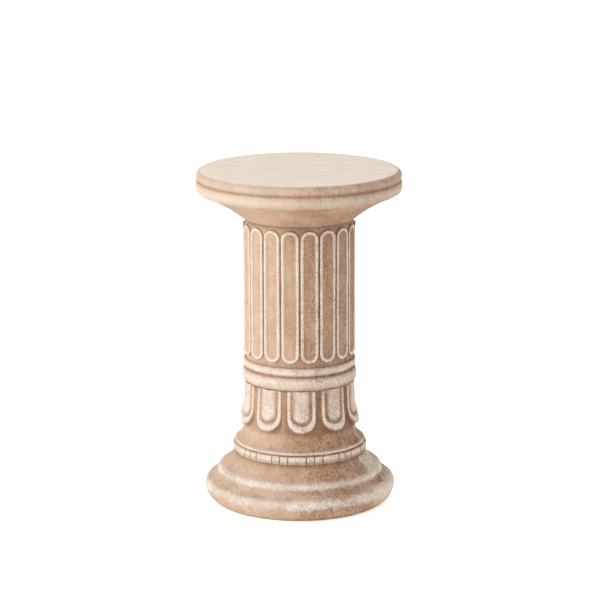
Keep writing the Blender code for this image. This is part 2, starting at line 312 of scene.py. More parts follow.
def turned_base():
    """Turn the base, from the middle of the underside to the foot of the band of beads."""
    profile = [(0, 0)] + [(radius, 0) for radius in UNDERSIDE_RINGS] + [(FOOT_RADIUS, 0)]
    profile += bow(profile[-1], (BASE_RADIUS, BASE_CROWN_Z), bulge=0.0030, steps=9)
    profile += bow(profile[-1], (BASE_ROLL_END, BASE_ROLL_Z), bulge=0.0013, steps=6)
    profile += bow(profile[-1], (SHOULDER_RADIUS, SHOULDER_Z), bulge=-0.0020, steps=6)
    profile += bow(profile[-1], (CAVETTO_RADIUS, CAVETTO_Z), bulge=0.0016, steps=6)
    profile += bow(profile[-1], (BAND_GROUND, BAND_Z - 0.0010), bulge=-0.0028, steps=10)
    profile.append((BAND_GROUND - 0.0002, BAND_Z - 0.0004))
    base = turned("base_mouldings", profile)
    for radius, height, width in (
        (FOOT_RADIUS, 0, 0.0008),
        (BASE_ROLL_END, BASE_ROLL_Z, 0.0030),
        (SHOULDER_RADIUS, SHOULDER_Z, 0.0028),
        (CAVETTO_RADIUS, CAVETTO_Z, 0.0030),
    ):
        ease_ring(base, radius, height, width)
    return base


def turned_flare():
    """Turn the fillet above the beads and the flare that runs up from it."""
    profile = [(FILLET_RADIUS - 0.0012, FILLET_Z - 0.0002), (FILLET_RADIUS - 0.0004, FILLET_Z)]
    profile += bow(profile[-1], (FILLET_RADIUS - 0.0016, FLARE_Z), bulge=0.0010, steps=6)
    collar_foot = (SHAFT_RADIUS + COLLAR_SPREAD, COLLAR_Z)
    profile += bow(profile[-1], collar_foot, bulge=-0.0012, steps=7)[:-1]
    return turned("flare", profile)


def turned_rings():
    """Turn the two rounded rings."""
    profile = []
    for foot_z, head_z, projection in (
        (LOWER_RING_Z, LOWER_RING_TOP_Z, 0.0036),
        (UPPER_RING_Z, SHAFT_Z, 0.0027),
    ):
        profile.append((RING_SEAT, foot_z))
        centre = (RING_SEAT, (foot_z + head_z) / 2)
        profile += round_off(centre, (projection, (head_z - foot_z) / 2), start=-90, end=90, steps=12)
    return turned("rings", profile)


def turned_cap():
    """Turn the bell and the cap, as far as the middle of the flat top."""
    centre = (CAP_RADIUS - CAP_ROLL_DEPTH, CAP_CROWN_Z)
    crown = CAP_CROWN_Z - CAP_Z
    edge_angle = math.degrees(math.asin((CAP_EDGE_Z - CAP_CROWN_Z) / CAP_SHOULDER))
    profile = [(SHAFT_RADIUS + 0.0008, BELL_Z)]
    profile += bow(profile[-1], (centre[0], CAP_Z), bulge=-0.0028, steps=16)
    profile += round_off(centre, (CAP_ROLL_DEPTH, crown), start=-90, end=0, steps=9)
    profile += round_off(centre, (CAP_ROLL_DEPTH, CAP_SHOULDER), start=0, end=edge_angle, steps=5)
    groove = profile[-1]
    profile += bow(profile[-1], (TOP_RADIUS, TOP_Z), bulge=0.0042, steps=10)
    profile += [(radius, TOP_Z) for radius in TOP_RINGS] + [(0, TOP_Z)]
    cap = turned("bell_and_cap", profile)
    ease_ring(cap, groove[0], groove[1], 0.0008)
    ease_ring(cap, TOP_RADIUS, TOP_Z, 0.0016)
    return cap


def rounded_tile(name, low, high, left, right, ground, corner, corner_steps, corners, cuts):
    """Lay a flat plate at the front, with some corners rounded and its straight sides cut into steps."""
    fresh_scene_selection()
    middle = ((left + right) / 2, -ground, (low + high) / 2)
    bpy.ops.mesh.primitive_plane_add(size=1, location=middle, rotation=FACING_FRONT)
    tile = bpy.context.object
    tile.name = name
    tile.scale = (right - left, high - low, 1)
    settle(tile)
    into_edit(tile)
    pick(lambda co: (co.z < middle[2] and "low" in corners) or (co.z > middle[2] and "high" in corners))
    bpy.ops.mesh.bevel(offset=corner, segments=corner_steps, affect="VERTICES", profile=0.5)
    bpy.ops.mesh.select_all(action="SELECT")
    bpy.ops.mesh.remove_doubles(threshold=SAME_PLACE)
    for side_cuts, axis, places in cuts:
        for place in places:
            pick(lambda co: abs(co[axis] - place) < SAME_PLACE)
            bpy.ops.mesh.subdivide(number_cuts=side_cuts)
    return tile


def raise_face(steps):
    """Inset the open tile's face again and again, each time raised by a step of the relief."""
    bpy.ops.mesh.select_mode(type="FACE")
    bpy.ops.mesh.select_all(action="SELECT")
    inset = 0
    relief = 0
    for next_inset, next_relief in steps:
        bpy.ops.mesh.inset(thickness=next_inset - inset, depth=next_relief - relief, use_even_offset=True)
        inset = next_inset
        relief = next_relief
    bpy.ops.mesh.select_mode(type="VERT")


def outline_ring():
    """Select the outer edge of the open tile."""
    bpy.ops.mesh.select_mode(type="VERT")
    bpy.ops.mesh.select_all(action="DESELECT")
    bpy.ops.mesh.select_non_manifold(
        extend=False, use_wire=False, use_boundary=True, use_multi_face=False, use_non_contiguous=False
    )


def square_off(box, straight, corner_reach, rows):
    """Grow the open tile's outline to the straight edges of its share of the ring."""
    left, right, low, high = box
    outline_ring()
    bpy.ops.mesh.extrude_edges_move(TRANSFORM_OT_translate={"value": (0, 0, 0)})
    rim = picked()
    if low is not None:
        pick(lambda co: co.z < straight[0] - NEAR_PLACE, rim)
        bpy.ops.transform.resize(value=(1, 1, 0), center_override=(0, 0, low))
    if high is not None:
        pick(lambda co: co.z > straight[1] + NEAR_PLACE, rim)
        bpy.ops.transform.resize(value=(1, 1, 0), center_override=(0, 0, high))
    for side, edge in ((-1, left), (1, right)):
        pick(lambda co: side * (co.x - (left + right) / 2) > corner_reach, rim)
        bpy.ops.transform.resize(value=(0, 1, 1), center_override=(edge, 0, 0))
    if rows:
        pick_edges(lambda edge: len(rim & {vert.index for vert in edge.verts}) == 1)
        bpy.ops.mesh.subdivide(number_cuts=rows)
        bpy.ops.mesh.select_mode(type="VERT")


def split_long_edges(length, cuts):
    """Cut the open tile's long upright edges, so that its faces stay small."""
    pick_edges(lambda edge: abs(edge.verts[0].co.z - edge.verts[1].co.z) > length)
    bpy.ops.mesh.subdivide(number_cuts=cuts)
    bpy.ops.mesh.select_mode(type="VERT")


def grid_panel(columns):
    """Swap the open tile's last many-sided face for an even grid."""
    mesh = bmesh.from_edit_mesh(bpy.context.object.data)
    panel = max(mesh.faces, key=lambda face: len(face.verts))
    ring = list(panel.verts)
    rows = len(ring) // 2 - columns
    top = max(vert.co.z for vert in ring)
    crown = [i for i in range(len(ring)) if top - ring[i].co.z < SAME_PLACE / 10]
    centre = sum(vert.co.x for vert in ring) / len(ring)
    head = min(crown, key=lambda i: abs(ring[i].co.x - centre))
    start = (head - columns // 2) % len(ring)
    order = [ring[(start + i) % len(ring)] for i in range(len(ring))]
    first = order[:columns + 1]
    down_end = order[columns:columns + rows + 1]
    last = order[columns + rows:2 * columns + rows + 1][::-1]
    down_start = [order[0]] + order[:columns + rows + columns - 1:-1]
    lines = [first]
    mesh.faces.remove(panel)
    for row in range(1, rows):
        share = row / rows
        line = [down_start[row]]
        for column in range(1, columns):
            across = column / columns
            level = down_start[row].co.lerp(down_end[row].co, across)
            upright = first[column].co.lerp(last[column].co, share)
            left_side = first[0].co.lerp(last[0].co, share)
            right_side = first[-1].co.lerp(last[-1].co, share)
            line.append(mesh.verts.new(level + upright - left_side.lerp(right_side, across)))
        line.append(down_end[row])
        lines.append(line)
    lines.append(last)
    for upper, lower in zip(lines, lines[1:]):
        for i in range(columns):
            mesh.faces.new((upper[i], upper[i + 1], lower[i + 1], lower[i]))
    bmesh.update_edit_mesh(bpy.context.object.data)


def repeat(tile, count, pitch):
    """Copy a tile along the flat strip, each copy with its own mesh."""
    copies = [tile]
    for index in range(1, count):
        copy = tile.copy()
        copy.data = tile.data.copy()
        bpy.context.scene.collection.objects.link(copy)
        copy.location.x = pitch * index
        copies.append(copy)
    strip = gather(copies, tile.name)
    settle(strip)
    return strip


def wrap(strip, turn, flat_radius, radius_at):
    """Wrap a flat strip round the axis and weld its seams."""
    mesh = strip.data
    places = np.empty(len(mesh.vertices) * 3)
    mesh.vertices.foreach_get("co", places)
    places = places.reshape(-1, 3)
    angle = turn + places[:, 0] / flat_radius
    radius = radius_at(-places[:, 1], places[:, 2])
    wrapped = np.stack((radius * np.sin(angle), -radius * np.cos(angle), places[:, 2]), axis=1)
    mesh.vertices.foreach_set("co", wrapped.ravel())
    mesh.update()
    into_edit(strip)
    bpy.ops.mesh.select_all(action="SELECT")
    bpy.ops.mesh.remove_doubles(threshold=NEAR_PLACE)
    settle(strip)


def flute_ring():
    """Model one flute, a long plate with round ends, a raised rim and a sunk panel, and ring the shaft."""
    pitch = FULL_TURN * SHAFT_RADIUS / FLUTE_COUNT
    half_width = (pitch - FLUTE_GAP) / 2
    straight = (FLUTE_FOOT_Z + half_width, FLUTE_HEAD_Z - half_width)
    tile = rounded_tile(
        "flutes", low=FLUTE_FOOT_Z, high=FLUTE_HEAD_Z, left=-half_width, right=half_width,
        ground=SHAFT_RADIUS, corner=half_width, corner_steps=6, corners=("low", "high"),
        cuts=[(25, 0, (-half_width, half_width))],
    )
    raise_face(FLUTE_RELIEF)
    grid_panel(columns=12)
    square_off((-pitch / 2, pitch / 2, SHAFT_Z, BELL_Z), straight, corner_reach=half_width * 0.92, rows=1)
    split_long_edges(length=0.010, cuts=4)
    settle(tile)
    strip = repeat(tile, FLUTE_COUNT, pitch)
    wrap(strip, FLUTE_TURN, SHAFT_RADIUS, lambda ground, height: ground)
    return strip


def collar_ground(height):
    """Return the radius of the collar's plain ground at a height."""
    return SHAFT_RADIUS + COLLAR_SPREAD * (COLLAR_TOP_Z - height) / (COLLAR_TOP_Z - COLLAR_Z)


def tongue_rim(height):
    """Return the radius of a tongue's rim, which curls outwards towards its tip."""
    curl = np.maximum(0, (TONGUE_TIP_Z + TONGUE_CURL_LENGTH - height) / TONGUE_CURL_LENGTH)
    curled = SHAFT_RADIUS + TONGUE_RIM_RELIEF + TONGUE_CURL * curl ** 2
    return np.maximum(curled, collar_ground(height) + TONGUE_RIM_RELIEF)


def tongue_depth(height):
    """Return how deep the relief of the tongues is at a height, as a share of its full depth."""
    return np.clip((tongue_rim(height) - collar_ground(height)) / TONGUE_CREST, 0.4, 1)


def tongue_surface(ground, height):
    """Return the radius of a point of the collar from its relief on the flat tile."""
    relief = (ground - SHAFT_RADIUS) * tongue_depth(height)
    lift = tongue_rim(height) - collar_ground(height) - TONGUE_CREST * tongue_depth(height)
    return collar_ground(height) + relief + lift * np.clip((ground - SHAFT_RADIUS) / TONGUE_PLATE, 0, 1)


def shape_tip(centre_z, half_width):
    """Lengthen and blunt the open tongue's round end, so that its rim is thickest at the tip."""
    mesh = bmesh.from_edit_mesh(bpy.context.object.data)
    inner = half_width - TONGUE_GROOVE_INSET
    for vert in mesh.verts:
        below = max(0, centre_z - vert.co.z)
        reach = math.hypot(vert.co.x, below)
        outward = min(max((reach - inner) / TONGUE_GROOVE_INSET, 0), 1)
        if below > 0:
            length = TONGUE_INNER_LENGTH * min(reach / inner, 1)
            length += (TONGUE_END_LENGTH - TONGUE_INNER_LENGTH) * outward
            vert.co.z = centre_z - length * (below / reach) ** TONGUE_BLUNTNESS
        vert.co.z += TONGUE_DOME_LIFT * (1 - outward)
    bmesh.update_edit_mesh(bpy.context.object.data)


def tongue_ring():
    """Model one hanging tongue with its rounded rim, groove and dome, and ring the collar."""
    pitch = FULL_TURN * SHAFT_RADIUS / TONGUE_COUNT
    half_width = (pitch - TONGUE_GAP) / 2
    centre_z = TONGUE_TIP_Z + TONGUE_END_LENGTH
    # The tile runs on above the collar, and what is too much is cut off at the end
    overrun = COLLAR_TOP_Z + TONGUE_OVERRUN
    tile = rounded_tile(
        "tongues", low=centre_z - half_width, high=overrun, left=-half_width, right=half_width,
        ground=SHAFT_RADIUS, corner=half_width, corner_steps=8, corners=("low",),
        cuts=[(14, 0, (-half_width, half_width))],
    )
    pick(lambda co: centre_z + SAME_PLACE < co.z < overrun - SAME_PLACE)
    bpy.ops.transform.resize(value=(1, 1, TONGUE_STEP_SHARE), center_override=(0, 0, centre_z))
    raise_face(TONGUE_RELIEF)
    pick(lambda co: abs(co.z - (overrun - TONGUE_RELIEF[-1][0])) < SAME_PLACE)
    bpy.ops.mesh.subdivide(number_cuts=15)
    grid_panel(columns=8)
    shape_tip(centre_z, half_width)
    square_off((-pitch / 2, pitch / 2, COLLAR_Z, None), (centre_z, 1), corner_reach=half_width * 0.95, rows=4)
    split_long_edges(length=0.006, cuts=7)
    bpy.ops.mesh.select_all(action="SELECT")
    bpy.ops.mesh.bisect(
        plane_co=(0, 0, COLLAR_TOP_Z), plane_no=(0, 0, 1), clear_outer=True, clear_inner=False, use_fill=False
    )
    settle(tile)
    strip = repeat(tile, TONGUE_COUNT, pitch)
    wrap(strip, TONGUE_TURN, SHAFT_RADIUS, tongue_surface)
    return strip


def bead_surface(ground, height):
    """Return the radius of a point of the band, whose beads are rounded from their foot to their head."""
    across = (height - (BAND_Z + BAND_TOP_Z) / 2) / ((BAND_TOP_Z - BAND_Z) / 2)
    roll = BAND_PROJECTION * np.sqrt(np.clip(1.05 - across ** 2, 0, 1))
    return BAND_GROUND + roll * (0.6 + 0.4 * np.clip((ground - BAND_GROUND) / BEAD_PLATE, 0, 1))


def bead_ring():
    """Model a long bead and two short ones, and ring the base with them."""
    flat_radius = BAND_GROUND + BAND_PROJECTION
    unit = FULL_TURN * flat_radius / BEAD_UNIT_COUNT
    long_bead = unit - 2 * SHORT_BEAD - 3 * BEAD_NOTCH
    beads = []
    start = 0
    for length, cuts in ((long_bead, 9), (SHORT_BEAD, 3), (SHORT_BEAD, 3)):
        left = start
        right = start + length
        low = BAND_Z + BEAD_MARGIN
        high = BAND_TOP_Z - BEAD_MARGIN
        tile = rounded_tile(
            "beads", low=low, high=high, left=left, right=right, ground=BAND_GROUND,
            corner=BEAD_CORNER, corner_steps=3, corners=("low", "high"),
            cuts=[(4, 0, (left, right)), (cuts, 2, (low, high))],
        )
        raise_face(BEAD_RELIEF)
        grid_panel(columns=cuts + 7)
        half_notch = BEAD_NOTCH / 2
        box = (left - half_notch, right + half_notch, BAND_Z, BAND_TOP_Z)
        straight = (low + BEAD_CORNER, high - BEAD_CORNER)
        square_off(box, straight, corner_reach=length / 2 - BEAD_MARGIN, rows=0)
        settle(tile)
        beads.append(tile)
        start = right + BEAD_NOTCH
    strip = repeat(gather(beads, "beads"), BEAD_UNIT_COUNT, unit)
    wrap(strip, BEAD_START, flat_radius, bead_surface)
    return strip


def bridge(piece, low, high):
    """Join the two open rings that lie between two heights."""
    into_edit(piece)
    pick_edges(lambda edge: edge.is_boundary and all(low <= vert.co.z <= high for vert in edge.verts))
    bpy.ops.mesh.bridge_edge_loops()
    settle(piece)


def hand_cast(piece, strength, size, name):
    """Displace a surface softly, as a cast from a hand-made mould is uneven."""
    texture = bpy.data.textures.new(name, "CLOUDS")
    texture.noise_scale = size
    texture.noise_depth = 1
    modifier = piece.modifiers.new(name, "DISPLACE")
    modifier.texture = texture
    modifier.strength = strength
    modifier.mid_level = 0.5
    modifier.texture_coords = "LOCAL"
    modifier.vertex_group = "uneven"
    select_only(piece)
    bpy.ops.object.modifier_apply(modifier=modifier.name)


def keep_size(piece):
    """Keep the cast within the solid's size."""
    for vert in piece.data.vertices:
        vert.co.z = min(max(vert.co.z, 0), TOP_Z)
        reach = math.hypot(vert.co.x, vert.co.y)
        if reach > CAP_RADIUS:
            vert.co.x *= CAP_RADIUS / reach
            vert.co.y *= CAP_RADIUS / reach


def join_cast():
    """Join the turned mouldings and the carved rings into the one closed cast."""
    stretches = (turned_base, bead_ring, turned_flare, tongue_ring, turned_rings, flute_ring, turned_cap)
    cast = gather([model() for model in stretches], "cast_column")
    # Each pair of open rings lies between two heights
    for low, high in (
        (BAND_Z - 0.0008, BAND_Z + 0.0002),
        (BAND_TOP_Z - 0.0002, FILLET_Z - 0.0001),
        (COLLAR_Z - 0.0030, COLLAR_Z + 0.0002),
        (COLLAR_TOP_Z - 0.0002, LOWER_RING_Z + 0.0002),
        (SHAFT_Z - 0.0002, SHAFT_Z + 0.0002),
        (BELL_Z - 0.0002, BELL_Z + 0.0002),
    ):
        bridge(cast, low, high)
    into_edit(cast)
    bpy.ops.mesh.select_all(action="SELECT")
    bpy.ops.mesh.normals_make_consistent(inside=False)
    settle(cast)
    return cast


def facing(degrees):
    """Return the directions outwards and across at an angle from the front."""
    angle = math.radians(degrees)
    return Vector((math.sin(angle), -math.cos(angle), 0)), Vector((math.cos(angle), math.sin(angle), 0))


def flaw_layer(mesh, kind):
    """Return the layer that says how strong one kind of flaw is on each point."""
    return mesh.verts.layers.float.get(kind) or mesh.verts.layers.float.new(kind)


def score(piece, degrees, low, high, reach, rise, wander, kind):
    """Cut three close upright lines into the cast and move the middle one in or out."""
    outwards, across = facing(degrees)

    def beside_line(middle):
        near = abs(middle.dot(across)) < CRACK_REACH and middle.dot(outwards) > FRONT_SIDE
        return near and low < middle.z < high

    into_edit(piece)
    for offset in (-reach, 0, reach):
        pick_faces(beside_line)
        bpy.ops.mesh.bisect(plane_co=across * offset, plane_no=across)
    mesh = bmesh.from_edit_mesh(piece.data)
    layer = flaw_layer(mesh, kind)
    for vert in mesh.verts:
        side = abs(vert.co.dot(across))
        if side < reach * 1.01 and vert.co.dot(outwards) > FRONT_SIDE and low < vert.co.z < high:
            fade = min(1, (vert.co.z - low) / CRACK_FADE, (high - vert.co.z) / CRACK_FADE)
            place = vert.co.z * CRACK_WAVES
            vert.co += across * wander * fade * (math.sin(place) + 0.5 * math.sin(2.3 * place + 1))
            share = 1.0 if side < reach * 0.5 else CRACK_EDGE
            vert[layer] = max(vert[layer], fade * share)
            if share == 1.0:
                vert.co += outwards * rise * fade
    bmesh.update_edit_mesh(piece.data)
    settle(piece)


def nick(piece, degrees, height, half_length, reach, depth):
    """Cut a short level crack into a raised edge of the cast."""
    outwards, across = facing(degrees)

    def beside_line(middle):
        near = abs(middle.dot(across)) < half_length and middle.dot(outwards) > FRONT_SIDE
        return near and abs(middle.z - height) < NICK_REACH

    into_edit(piece)
    for offset in (-reach, 0, reach):
        pick_faces(beside_line)
        bpy.ops.mesh.bisect(plane_co=(0, 0, height + offset), plane_no=(0, 0, 1))
    mesh = bmesh.from_edit_mesh(piece.data)
    layer = flaw_layer(mesh, "flaw")
    for vert in mesh.verts:
        aside = abs(vert.co.dot(across))
        level = abs(vert.co.z - height)
        if level < reach * 1.01 and aside < half_length and vert.co.dot(outwards) > FRONT_SIDE:
            fade = min(1, 2 * (1 - aside / half_length))
            share = 1.0 if level < reach * 0.5 else CRACK_EDGE
            vert[layer] = max(vert[layer], fade * share)
            if share == 1.0:
                vert.co -= outwards * depth * fade
    bmesh.update_edit_mesh(piece.data)
    settle(piece)


def chip(piece, middle, reach, depth, grain, share, stain):
    """Break small crumbs out of the cast round a place."""
    middle = Vector(middle)
    into_edit(piece)
    pick_faces(lambda place: (place - middle).length < reach)
    bpy.ops.mesh.subdivide(number_cuts=4)
    mesh = bmesh.from_edit_mesh(piece.data)
    layer = flaw_layer(mesh, "flaw")
    inwards = Vector((-middle.x, -middle.y, 0)).normalized()
    for vert in mesh.verts:
        near = 1 - (vert.co - middle).length / reach
        if near > 0:
            place = Vector((vert.co.x, vert.co.y, vert.co.z * 0.5)) * grain
            crumb = 6.0 * solid_noise.noise(place) + share
            crumb = min(1, max(0, crumb)) * min(1, 2.5 * near)
            vert.co += inwards * depth * crumb
            vert[layer] = max(vert[layer], crumb * stain)
    bmesh.update_edit_mesh(piece.data)
    settle(piece)


def flaws(piece):
    """Give the cast the hairline cracks, the crumbled spots and the mould seam that the photo shows."""
    score(piece, 19.375, low=0.0110, high=0.0260, reach=0.0007, rise=-0.0007, wander=0.0005, kind="flaw")
    score(piece, 16.875, low=0.1945, high=0.2150, reach=0.0005, rise=-0.0012, wander=0.00025, kind="flaw")
    nick(piece, 18.9, height=0.3023, half_length=0.0032, reach=0.0005, depth=0.0008)
    score(piece, 75.625, low=0.0240, high=0.1180, reach=0.0022, rise=0.0006, wander=0.0, kind="seam")
    score(piece, 70.625, low=0.0400, high=0.0740, reach=0.0014, rise=0.0004, wander=0.0, kind="seam")
    score(piece, 64.375, low=0.0790, high=0.0950, reach=0.0005, rise=-0.0012, wander=0.0002, kind="flaw")
    chip(piece, (0.1188, -0.0420, 0.0395), reach=0.0125, depth=0.0024, grain=520, share=-0.2, stain=0.5)
    chip(piece, (0.0396, -0.1364, 0.0225), reach=0.0085, depth=0.0005, grain=850, share=-1.1, stain=0.9)
    chip(piece, (0.0297, -0.0791, 0.1945), reach=0.0070, depth=0.0004, grain=850, share=-1.1, stain=0.9)


# Rub of white on the turned mouldings and painted shade in their hollows, joins and at the foot: height, rub,
# painted shade
TURNED_RUB_AND_SHADE = (
    (0.0000, 0.05, 0.45), (0.0050, 0.10, 0.12), (0.0120, 0.12, 0.00), (0.0180, 0.25, 0.00),
    (0.0210, 0.52, 0.00), (0.0245, 0.92, 0.00), (0.0290, 1.00, 0.00), (0.0315, 0.78, 0.00),
    (0.0335, 0.48, 0.03), (0.0360, 0.32, 0.06), (0.0400, 0.29, 0.08), (0.0425, 0.33, 0.05),
    (0.0445, 0.52, 0.00), (0.0470, 0.95, 0.00), (0.0500, 1.00, 0.00), (0.0525, 0.66, 0.00),
    (0.0555, 0.26, 0.00), (0.0620, 0.12, 0.00),
    (0.0700, 0.08, 0.20), (0.0748, 0.00, 0.75), (0.0887, 0.00, 0.65), (0.0896, 0.15, 0.25),
    (0.0907, 0.35, 0.05), (0.0915, 1.00, 0.00), (0.0924, 1.00, 0.00), (0.0931, 0.15, 0.12),
    (0.1000, 0.08, 0.00), (0.1065, 0.00, 0.00), (0.1829, 0.00, 0.90), (0.1838, 0.10, 0.55),
    (0.1856, 0.26, 0.12), (0.1890, 0.58, 0.00), (0.1960, 0.76, 0.00), (0.2002, 0.54, 0.00),
    (0.2030, 0.20, 0.25), (0.2044, 0.00, 0.80), (0.2058, 0.12, 0.40), (0.2080, 0.60, 0.00),
    (0.2115, 0.78, 0.00), (0.2150, 0.60, 0.00), (0.2172, 0.30, 0.05), (0.2181, 0.05, 0.30),
    (0.4268, 0.00, 0.80), (0.4285, 0.15, 0.35), (0.4310, 0.10, 0.12), (0.4600, 0.08, 0.15),
    (0.4655, 0.14, 0.13), (0.4690, 0.35, 0.00), (0.4763, 0.50, 0.00), (0.4820, 0.35, 0.00),
    (0.4850, 0.05, 0.55), (0.4862, 0.05, 0.50), (0.4885, 0.24, 0.05), (0.4925, 0.34, 0.00),
    (0.4989, 0.32, 0.00), (0.4995, 0.90, 0.00), (0.5000, 1.00, 0.00),
)


def ramp(values, low, high):
    """Return a smooth rise from nought at one value to one at another."""
    share = np.clip((values - low) / (high - low), 0, 1)
    return share * share * (3 - 2 * share)


def fall(values, low, high):
    """Return a smooth fall from one at one value to nought at another."""
    return ramp(-values, -high, -low)


def shaft_rub_and_shade(x, z, radius):
    """Return the rub and the painted shade of the shaft: white rims, and painted shade in the gaps and panels
    that is darker at the right, away from the light.
    """
    relief = radius - SHAFT_RADIUS
    right = ramp(x, -0.05, 0.04)
    above_foot = ramp(z, FLUTE_FOOT_Z - 0.003, FLUTE_FOOT_Z + 0.008)
    below_head = fall(z, FLUTE_HEAD_Z - 0.010, FLUTE_HEAD_Z + 0.002)
    # Painted shade in the gaps between the flutes, darker towards the right, the side turned from the key
    # light
    in_gap = 0.12 + 0.12 * right + above_foot * below_head * (0.02 + 0.22 * right)
    ground_shade = (1 - ramp(relief, 0.0002, 0.0018)) * in_gap
    # Painted shade along the panels' edges inside the rims, and a painted shadow at the panels' heads under
    # the bell, both stronger at the right
    panel = ramp(relief, 0.0009, 0.0013) * (1 - ramp(relief, 0.0017, 0.0027))
    panel_shade = (0.10 + 0.16 * right) * ramp(relief, 0.0013, 0.0017)
    panel_shade += 0.34 * right * ramp(z, 0.375, FLUTE_HEAD_Z - 0.010)
    return 0.88 * ramp(relief, 0.0019, 0.0034), ground_shade + panel * panel_shade


def collar_rub_and_shade(x, y, z, radius):
    """Return the rub and the painted shade of the collar, whose rims and domes are white, most of all at the
    tips, with painted shadow under the tips.
    """
    depth = tongue_depth(z)
    height = ramp((radius - tongue_rim(z)) / depth, -0.0021, -0.0002)
    above_ground = ramp((radius - collar_ground(z)) / depth, 0.0002, 0.0012)
    towards_tip = 0.76 + 0.24 * fall(z, TONGUE_TIP_Z + 0.02, COLLAR_TOP_Z - 0.015)
    pitch = FULL_TURN / TONGUE_COUNT
    aside = ((np.arctan2(x, -y) - TONGUE_TURN + pitch / 2) % pitch - pitch / 2) * SHAFT_RADIUS
    dome_width = (pitch * SHAFT_RADIUS - TONGUE_GAP) / 2 - TONGUE_GROOVE_INSET
    below = np.maximum(0, TONGUE_TIP_Z + TONGUE_END_LENGTH + TONGUE_DOME_LIFT - z)
    from_middle = np.hypot(aside / dome_width, below / TONGUE_INNER_LENGTH)
    on_dome = 0.74 * (1 - ramp(from_middle, 0.45, 1.0)) + 0.10 * (1 - ramp(from_middle, 0.85, 1.0))
    rub = np.where(from_middle < 1, on_dome, height * above_ground) * towards_tip
    # Painted shadow under the tongue tips and between them, darker at the right, and painted shade on the
    # tongues below their rim crests
    under_tip = ramp(z, COLLAR_Z + 0.004, TONGUE_TIP_Z)
    shade = 0.42 + 0.40 * ramp(x, -0.03, 0.06)
    painted_shade = (1 - above_ground) * shade * under_tip + above_ground * (1 - height) * 0.32
    return rub, painted_shade


def band_rub_and_shade(z, radius):
    """Return the rub and the painted shade of the beads, which are white above and have painted shade in
    their notches and on the ground round them.
    """
    raised = radius - BAND_GROUND
    upper_half = 0.22 + 0.63 * ramp(z, BAND_Z + 0.003, BAND_Z + 0.009)
    sunk = bead_surface(BAND_GROUND + BEAD_PLATE, z) - radius
    notch = ramp(sunk, 0.0002, 0.0008)
    rub = ramp(raised, 0.0007, 0.0020) * upper_half * (1 - notch)
    # Painted shade on the sunk ground of the band and in the notches between the beads
    painted_shade = np.maximum(0.7 * (1 - ramp(raised, 0.0001, 0.0009)), 0.55 * notch)
    return rub, painted_shade


def pale_side(x, y, z):
    """Return how far the base is scraped or washed pale, at the right."""
    angle = np.degrees(np.arctan2(x, -y))
    before_back = fall(angle, 85, 115)
    scraped = 1.05 * ramp(angle, 57, 68) * before_back * ramp(z, 0.0425, 0.0475) * fall(z, 0.070, 0.074)
    washed = 0.9 * ramp(angle, 46, 64) * before_back * ramp(z, 0.006, 0.014) * fall(z, 0.032, 0.037)
    return np.maximum(scraped, washed)


def rub_and_shade_layers(piece):
    """Store on each point how far white is rubbed on it, how much painted shade darkens it, and where the top
    is.
    """
    mesh = piece.data
    places = np.empty(len(mesh.vertices) * 3)
    mesh.vertices.foreach_get("co", places)
    x, y, z = places.reshape(-1, 3).T
    radius = np.hypot(x, y)
    table = np.array(TURNED_RUB_AND_SHADE)
    rub = np.interp(z, table[:, 0], table[:, 1])
    # Painted shade: how far each point is darkened for the shade in hollows, joins and at the foot
    painted_shade = np.interp(z, table[:, 0], table[:, 2])
    for low, high, rub_and_shade in (
        (SHAFT_Z + 0.0005, BELL_Z - 0.0005, shaft_rub_and_shade(x, z, radius)),
        (COLLAR_Z + 0.0002, COLLAR_TOP_Z, collar_rub_and_shade(x, y, z, radius)),
        (BAND_Z + 0.0001, BAND_TOP_Z - 0.0001, band_rub_and_shade(z, radius)),
    ):
        carved = (z > low) & (z < high)
        rub = np.where(carved, rub_and_shade[0], rub)
        painted_shade = np.where(carved, rub_and_shade[1], painted_shade)
    top = ramp(z, TOP_Z - 0.0006, TOP_Z - 0.0002)
    seam = np.empty(len(z))
    mesh.attributes["seam"].data.foreach_get("value", seam)
    pale = np.maximum(seam, pale_side(x, y, z))
    mesh.attributes["seam"].data.foreach_set("value", pale.astype(np.float32))
    for name, values in (("rub", rub), ("painted_shade", painted_shade), ("top", top)):
        layer = mesh.attributes.new(name, "FLOAT", "POINT")
        layer.data.foreach_set("value", values.astype(np.float32))
    free = piece.vertex_groups.new(name="uneven")
    for index, share in enumerate(ramp(z, 0.0, 0.004) * ramp(TOP_Z - z, 0.0, 0.006)):
        free.add([index], float(share), "REPLACE")


